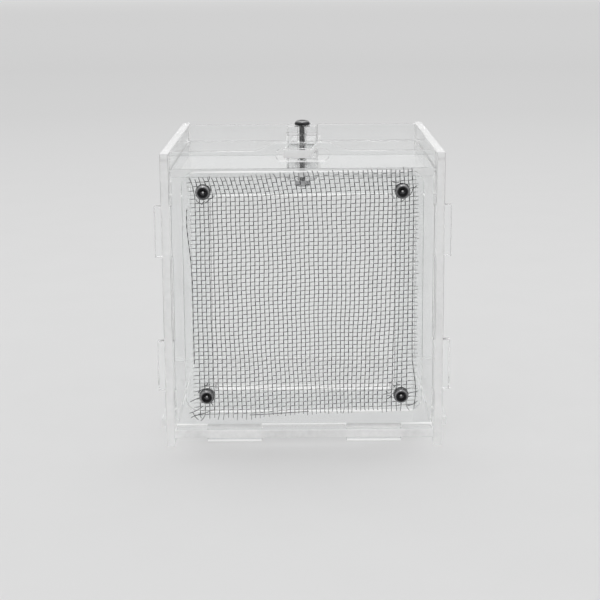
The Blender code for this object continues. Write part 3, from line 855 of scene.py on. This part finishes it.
def shank_rings(angles, length, thread_depth, pitch, painted_light):
    """Rings of a threaded shank, as (radius, height, painted light), from the seat down to the closed tip."""
    tip = 0.0004
    thread_from = -0.0001
    runout = 0.0006
    steps_per_turn = 7
    rings = [(SHANK_RADIUS, 0, painted_light)]
    for height in np.arange(thread_from, tip - length, -pitch / steps_per_turn):
        depth = thread_depth * min(1, -height / runout)
        rings.append((thread_radius(angles, height, SHANK_RADIUS, depth, pitch), height, painted_light))
    return rings + [(SHANK_RADIUS - tip, -length, painted_light), (0, -length, painted_light)]


def screw_points(profile, top, length, socket, settings, painted_light_values, thread_depth, knurls=0):
    """Points and painted light of a socket screw, head up on Z with its seat at height 0, from the socket to
    the tip.

    Each ring has a height and a radius for each angle: a hexagon in the socket, circles on the head,
    ridges on a knurled side, and a thread on the shank. profile lists (radius, height) from the head's
    flat top to its seat. socket is its size across flats and its depth. The argument after settings has
    the painted light of crown, dome, rim and shank.
    """
    sides_per_knurl = 4
    plain_sides = 48
    sides = knurls * sides_per_knurl if knurls else plain_sides
    angles = np.arange(sides) * TURN / sides
    rings = [
        *socket_rings(angles, top, *socket, painted_light_values[0]),
        *head_rings(angles, profile, painted_light_values[:3], knurls, settings.knurl_depth),
        *shank_rings(angles, length, thread_depth, settings.thread_pitch, painted_light_values[3]),
    ]
    return rings_with_painted_light(rings, angles)


def button_head(radius, height, flat, rim):
    """Profile of a button head: a quarter of an ellipse from its flat top to its rim, then the rim's side."""
    chamfer = 0.0001
    turns = np.linspace(0, math.pi / 2, 12)
    profile = [(flat + (radius - flat) * math.sin(t), rim + (height - rim) * math.cos(t)) for t in turns]
    profile += [(radius, level) for level in np.linspace(rim * 0.95, chamfer, 4)]
    return profile + [(radius - chamfer, 0)]


class TERRARIUM_OT_vent_screws(bpy.types.Operator):
    """Make the four socket-head screws that clamp mesh and frame to the front panel."""

    bl_idname = "terrarium.vent_screws"
    bl_label = "Vent Screws"

    def execute(self, context):
        settings = context.scene.terrarium_screws
        flat = 0.00165
        rim = 0.0012
        socket = (settings.socket_across, 0.0011)
        first_turn = 0.4
        turn_each = 0.7
        steel = metal_material(
            "black_screw", settings.dark_colour, rough_low=0.18, rough_high=0.3, spread=0.7)
        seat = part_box("vent_mesh")[0].y - HEAD_GAP
        for number, name in enumerate(VENT_SCREWS):
            low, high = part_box(name)
            top = seat - low.y
            profile = button_head((high.x - low.x) / 2, top, flat, rim)
            points, painted_light_values = screw_points(
                profile, top, high.y - seat, socket, settings, SCREW_PAINTED_LIGHT, settings.thread_depth,
                settings.knurls)
            turn = Matrix.Rotation(first_turn + turn_each * number, 3, "Z")
            stand = np.array(Matrix.Rotation(math.pi / 2, 3, "X") @ turn)
            middle = np.array([(low.x + high.x) / 2, seat, (low.z + high.z) / 2])
            points = points @ stand.T + middle
            new_piece(
                name + "_detailed", points, "enclosure", steel, [name], "painted_light", painted_light_values)
        return {"FINISHED"}


def nut_points(across, height, pitch):
    """Points and painted light of a hexagon nut about its own middle, as one closed loop of rings.

    The rings go down outside and up the bore. Outside, the radius is the lesser of the hexagon and a cone
    from each end. Inside, it is the thread's, wider at both mouths.
    """
    sides = 96
    end_share = 0.985
    cone_slope = 1.7
    bore_radius = 0.00162
    bore_depth = 0.00022
    flare_height = 0.0003
    outer_painted_light = 0.5
    # Painted shade darkens the bore
    bore_painted_shade = 0.15
    angles = np.arange(sides) * TURN / sides
    flats = hexagon(angles, across)
    half = height / 2
    rings = []
    for level in np.linspace(half, -half, 13):
        cone = across / 2 * end_share + (half - abs(level)) * cone_slope
        rings.append((np.minimum(flats, cone), level, outer_painted_light))
    for level in np.linspace(-half, half, 34):
        flare = max(0, abs(level) - half + flare_height)
        rings.append((thread_radius(angles, level, bore_radius, bore_depth, pitch) + flare, level, bore_painted_shade))
    return rings_with_painted_light(rings, angles)


class TERRARIUM_OT_latch_hardware(bpy.types.Operator):
    """Make the latch's button-head bolt and nut, and finish its washer."""

    bl_idname = "terrarium.latch_hardware"
    bl_label = "Latch Bolt and Nut"

    def execute(self, context):
        settings = context.scene.terrarium_screws
        flat = 0.0013
        rim = 0.0003
        socket = (settings.bolt_socket_across, 0.001)
        thread_depth = settings.thread_depth / 4
        nut_across = 0.0055
        nut_turn = math.radians(-5)
        black = metal_material(
            "black_bolt", settings.bolt_colour, rough_low=0.22, rough_high=0.4, spread=3.0)
        plain = metal_material(
            "plain_steel", settings.plain_colour, rough_low=0.25, rough_high=0.45, spread=0.6)

        low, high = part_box("latch_bolt")
        middle = np.array([(low.x + high.x) / 2, (low.y + high.y) / 2, 0])
        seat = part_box("latch_knob_upper")[1].z + HEAD_GAP
        top = high.z - seat
        profile = button_head((high.x - low.x) / 2, top, flat, rim)
        points, painted_light_values = screw_points(
            profile, top, seat - low.z, socket, settings, BOLT_PAINTED_LIGHT, thread_depth)
        points = points + middle + np.array([0, 0, seat])
        new_piece(
            "latch_bolt_detailed", points, "latch", black, ["latch_bolt"], "painted_light", painted_light_values)

        low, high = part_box("latch_nut")
        points, painted_light_values = nut_points(nut_across, high.z - low.z, settings.thread_pitch)
        turn = np.array(Matrix.Rotation(nut_turn, 3, "Z"))
        points = points @ turn.T + middle + np.array([0, 0, (low.z + high.z) / 2])
        new_piece(
            "latch_nut_detailed", points, "latch", plain, ["latch_nut"], "painted_light", painted_light_values,
            closed=True)

        wear(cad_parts["latch_washer"], plain)
        return {"FINISHED"}


class TERRARIUM_OT_clear_sheets(bpy.types.Operator):
    """Finish all clear sheets with polished faces and laser-cut edges."""

    bl_idname = "terrarium.clear_sheets"
    bl_label = "Clear Sheets"

    def execute(self, context):
        settings = context.scene.terrarium_sheets
        half_glow = 0.5
        frosted_cloudiness = 0.95
        side_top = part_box("left_side_panel")[1].z
        frame_low, frame_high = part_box("vent_frame")
        base_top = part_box("base_panel")[1].z
        glows = {
            "X": ((side_top, half_glow),),
            "Y": (
                (0.0, 1.0),
                (base_top, 1.0),
                (frame_low.z, 1.0),
                (settings.window_bottom, 1.0),
                (settings.window_top, 1.0),
                (frame_high.z, half_glow),
            ),
            "Z": (),
        }
        materials = {
            axis: clear_sheet_material("clear_sheet_" + axis, axis, cloudiness, settings, glows[axis])
            for axis, cloudiness in zip("XYZ", settings.edge_cloudiness)
        }
        frosted = clear_sheet_material("frosted_sheet", "Z", frosted_cloudiness, settings)
        square = clear_sheet_material("clear_square", "Z", settings.square_cloudiness, settings)
        lid = clear_sheet_material("clear_lid", "Z", settings.lid_cloudiness, settings)
        for name, axis in SHEET_AXES.items():
            material = materials[axis]
            if name == "latch_bar":
                material = frosted
            elif name == "lid_panel":
                material = lid
            elif name.startswith("latch"):
                material = square
            wear(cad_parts[name], material)
        return {"FINISHED"}


# Stage


def floor_disc(radius):
    """A round floor just under the object: rings of points at growing radii."""
    sides = 64
    rings = 9
    level = -0.00005
    angles = np.arange(sides) * TURN / sides
    radii = radius * np.linspace(0, 1, rings)[:, None] ** 2
    return ring_points(radii, np.full((rings, sides), level), angles)


def floor_material(settings):
    """Pale table top with a very faint mottle.

    It is painted lighter near the object than away from it, a painted pool of light, and lighter again far
    off, where it meets the backdrop, as painted light against the lamps' fall-off.
    """
    material, tree, output = new_material("floor")
    place = tree.nodes.new("ShaderNodeTexCoord").outputs["Object"]
    mottle = noise(tree, place, scale=30.0, detail=4.0)
    near = mixed_colour(
        tree, mottle, rgba(settings.floor_colour, 0.985), rgba(settings.floor_colour, 1.015))
    distance = node(tree, "ShaderNodeVectorMath", [("operation", "LENGTH")], i0=place).outputs["Value"]
    away = ramp_between(tree, distance, 0.25, 1.2, 0.0, 1.0)
    far = ramp_between(tree, distance, 2.0, 8.0, 0.0, 1.0)
    tint = mixed_colour(tree, away, near, rgba(settings.far_colour))
    tint = mixed_colour(tree, far, tint, rgba(settings.horizon_colour))
    shader = node(tree, "ShaderNodeBsdfPrincipled", Base_Color=tint, Roughness=0.8, Specular_IOR_Level=0.0)
    tree.links.new(shader.outputs[0], output.inputs["Surface"])
    return material


def area_lamp(name, place, size, power):
    """A square soft lamp that looks at the object."""
    data = bpy.data.lights.new(name, "AREA")
    data.shape = "SQUARE"
    data.size = size
    data.energy = power
    lamp = bpy.data.objects.new(name, data)
    bpy.context.scene.collection.objects.link(lamp)
    lamp.location = place
    lamp.rotation_euler = (Vector(LAMP_AIM) - Vector(place)).to_track_quat("-Z", "Y").to_euler()


def pale_world(settings):
    """Even light from all round, seen as the backdrop's colour by camera and transmission rays.

    Glossy rays see it brighter, and brightest towards the ceiling.
    """
    ceiling_from = 0.35
    ceiling_full = 0.8
    mirrored_light = 1.25
    ceiling_light = 1.5
    world = bpy.data.worlds.new("pale_world")
    world.use_nodes = True
    tree = world.node_tree
    tree.nodes.clear()
    output = tree.nodes.new("ShaderNodeOutputWorld")
    path = tree.nodes.new("ShaderNodeLightPath")
    seen = maths(tree, "MAXIMUM", path.outputs["Is Camera Ray"], path.outputs["Is Transmission Ray"])
    coordinates = tree.nodes.new("ShaderNodeTexCoord")
    direction = node(tree, "ShaderNodeSeparateXYZ", Vector=coordinates.outputs["Generated"])
    ceiling = ramp_between(
        tree, direction.outputs["Z"], ceiling_from, ceiling_full, mirrored_light, ceiling_light)
    backdrop = rgba(settings.backdrop_colour)
    even = node(tree, "ShaderNodeBackground", Color=(1, 1, 1, 1), Strength=settings.world_strength)
    shown = node(tree, "ShaderNodeBackground", Color=backdrop, Strength=1.0)
    mirrored = node(tree, "ShaderNodeBackground", Color=backdrop, Strength=ceiling)
    unseen = mixed_shader(tree, path.outputs["Is Glossy Ray"], even, mirrored)
    tree.links.new(mixed_shader(tree, seen, unseen, shown).outputs[0], output.inputs["Surface"])
    bpy.context.scene.world = world


def make_floor(settings):
    """The round floor, with its material."""
    points = floor_disc(settings.floor_radius)
    mesh = bpy.data.meshes.new("floor")
    mesh.from_pydata(points.reshape(-1, 3).tolist(), [], tube_quads(1, *points.shape[:2]).tolist())
    work = bmesh.new()
    work.from_mesh(mesh)
    bmesh.ops.remove_doubles(work, verts=work.verts, dist=MERGE_DISTANCE)
    work.to_mesh(mesh)
    work.free()
    floor = bpy.data.objects.new("floor", mesh)
    bpy.context.scene.collection.objects.link(floor)
    wear(floor, floor_material(settings))


def make_camera(settings):
    """The camera at the photograph's angle."""
    data = bpy.data.cameras.new("camera")
    data.lens = settings.focal_length
    data.sensor_width = 36
    data.shift_x = settings.shift_x
    data.shift_y = settings.shift_y
    data.clip_start = 0.01
    data.clip_end = 20
    camera = bpy.data.objects.new("camera", data)
    bpy.context.scene.collection.objects.link(camera)
    camera.location = settings.camera_place
    look = Matrix.Rotation(math.pi / 2 - settings.camera_pitch, 4, "X")
    camera.rotation_euler = (look @ Matrix.Rotation(-settings.camera_roll, 4, "Z")).to_euler()
    bpy.context.scene.camera = camera


class TERRARIUM_OT_stage(bpy.types.Operator):
    """Make the floor, the soft light and the camera."""

    bl_idname = "terrarium.stage"
    bl_label = "Stage"

    def execute(self, context):
        settings = context.scene.terrarium_stage
        make_floor(settings)
        for lamp in LAMPS:
            area_lamp(*lamp)
        pale_world(settings)
        make_camera(settings)
        context.scene.view_settings.view_transform = "Standard"
        return {"FINISHED"}


OPERATORS = (
    TERRARIUM_OT_clear_sheets,
    TERRARIUM_OT_wire_mesh,
    TERRARIUM_OT_vent_screws,
    TERRARIUM_OT_latch_hardware,
    TERRARIUM_OT_stage,
)
SETTINGS = {
    "terrarium_sheets": SheetSettings,
    "terrarium_mesh": MeshSettings,
    "terrarium_screws": ScrewSettings,
    "terrarium_stage": StageSettings,
}


class TERRARIUM_PT_panel(bpy.types.Panel):
    """Sizes, colours and steps of the terrarium."""

    bl_idname = "TERRARIUM_PT_panel"
    bl_label = "Terrarium"
    bl_space_type = "VIEW_3D"
    bl_region_type = "UI"
    bl_category = "Terrarium"

    def draw(self, context):
        for name in SETTINGS:
            group = getattr(context.scene, name)
            box = self.layout.box()
            for key in group.bl_rna.properties.keys():
                if key not in ("rna_type", "name"):
                    box.prop(group, key)
        for operator in OPERATORS:
            self.layout.operator(operator.bl_idname)


def register():
    """Register the settings, the operators and the panel."""
    for item in (*SETTINGS.values(), *OPERATORS, TERRARIUM_PT_panel):
        bpy.utils.register_class(item)
    for name, group in SETTINGS.items():
        setattr(bpy.types.Scene, name, bpy.props.PointerProperty(type=group))


def unregister():
    """Take the panel, the operators and the settings away again."""
    for name in SETTINGS:
        delattr(bpy.types.Scene, name)
    for item in (TERRARIUM_PT_panel, *reversed(OPERATORS), *reversed(SETTINGS.values())):
        bpy.utils.unregister_class(item)


def main():
    """Dress the object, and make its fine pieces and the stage."""
    register()
    bpy.ops.terrarium.clear_sheets()
    bpy.ops.terrarium.wire_mesh()
    bpy.ops.terrarium.vent_screws()
    bpy.ops.terrarium.latch_hardware()
    bpy.ops.terrarium.stage()


if __name__ == "__main__":
    main()
